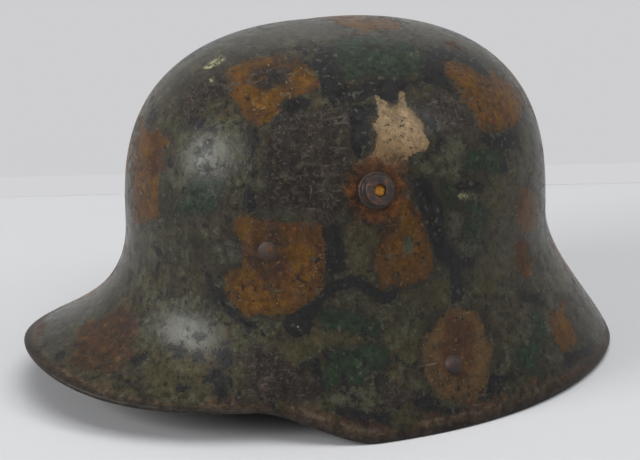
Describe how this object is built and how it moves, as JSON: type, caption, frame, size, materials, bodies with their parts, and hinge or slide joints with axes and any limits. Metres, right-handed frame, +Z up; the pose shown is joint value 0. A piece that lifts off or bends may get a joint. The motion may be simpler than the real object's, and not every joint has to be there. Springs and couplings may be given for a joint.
{
  "type": "steel helmet",
  "caption": "Deep steel helmet with a stepped visor and flared skirt, hollow side lugs, a steel-banded leather liner and a swinging chin strap.",
  "frame": {"origin": "on the table that the helmet stands on, under the middle of its bounding box", "axes": "+Z up through the crown, the visor points to -Y, and the wearer's left is +X"},
  "size_m": [0.2332, 0.3064, 0.1716],
  "materials": {
    "shell_paint": "worn hand-painted camouflage, semi-gloss",
    "lug_steel": "painted steel worn to brown",
    "pin_steel": "painted steel, chipped and rusty",
    "washer_steel": "dull, spotted with rust",
    "band_steel": "dull grey, spotted with rust",
    "rivet_steel": "dull",
    "pad_leather": "dry brown leather, darkened by wear",
    "cushion_cloth": "coarse natural linen",
    "strap_rivet_steel": "painted steel worn to dark brown",
    "post_steel": "dull, browned",
    "strap_leather": "old dark brown leather",
    "fitting_steel": "dull grey",
    "buckle_steel": "dull grey"
  },
  "bodies": {
    "helmet": {"shell": "shell_paint", "vent_lug_left": "lug_steel", "vent_lug_right": "lug_steel", "liner_pins": "pin_steel", "pin_washers": "washer_steel", "liner_band": "band_steel", "band_rivets": "rivet_steel", "pad_front": "pad_leather", "pad_left": "pad_leather", "pad_right": "pad_leather", "cushion_front": "cushion_cloth", "cushion_left": "cushion_cloth", "cushion_right": "cushion_cloth", "pad_rivets": "rivet_steel", "strap_rivet_left": "strap_rivet_steel", "strap_rivet_right": "strap_rivet_steel", "strap_post_left": "post_steel", "strap_post_right": "post_steel"},
    "strap": {"chin_strap": "strap_leather", "strap_fitting_left": "fitting_steel", "strap_fitting_right": "fitting_steel"},
    "buckle_left": {"strap_buckle_left": "buckle_steel"},
    "buckle_right": {"strap_buckle_right": "buckle_steel"}
  },
  "joints": [
    {"name": "strap_swing", "type": "hinge", "parent": "helmet", "child": "strap", "pos_m": [0, 0.0313, 0.02679], "axis": [1, 0, 0], "range_deg": [-14, 150]},
    {"name": "buckle_slide_left", "type": "slide", "parent": "strap", "child": "buckle_left", "axis": [-0.4226, -0.8977, -0.1245], "range_m": [-0.014, 0.018]},
    {"name": "buckle_slide_right", "type": "slide", "parent": "strap", "child": "buckle_right", "axis": [0.4226, -0.8977, -0.1245], "range_m": [-0.014, 0.018]}
  ]
}
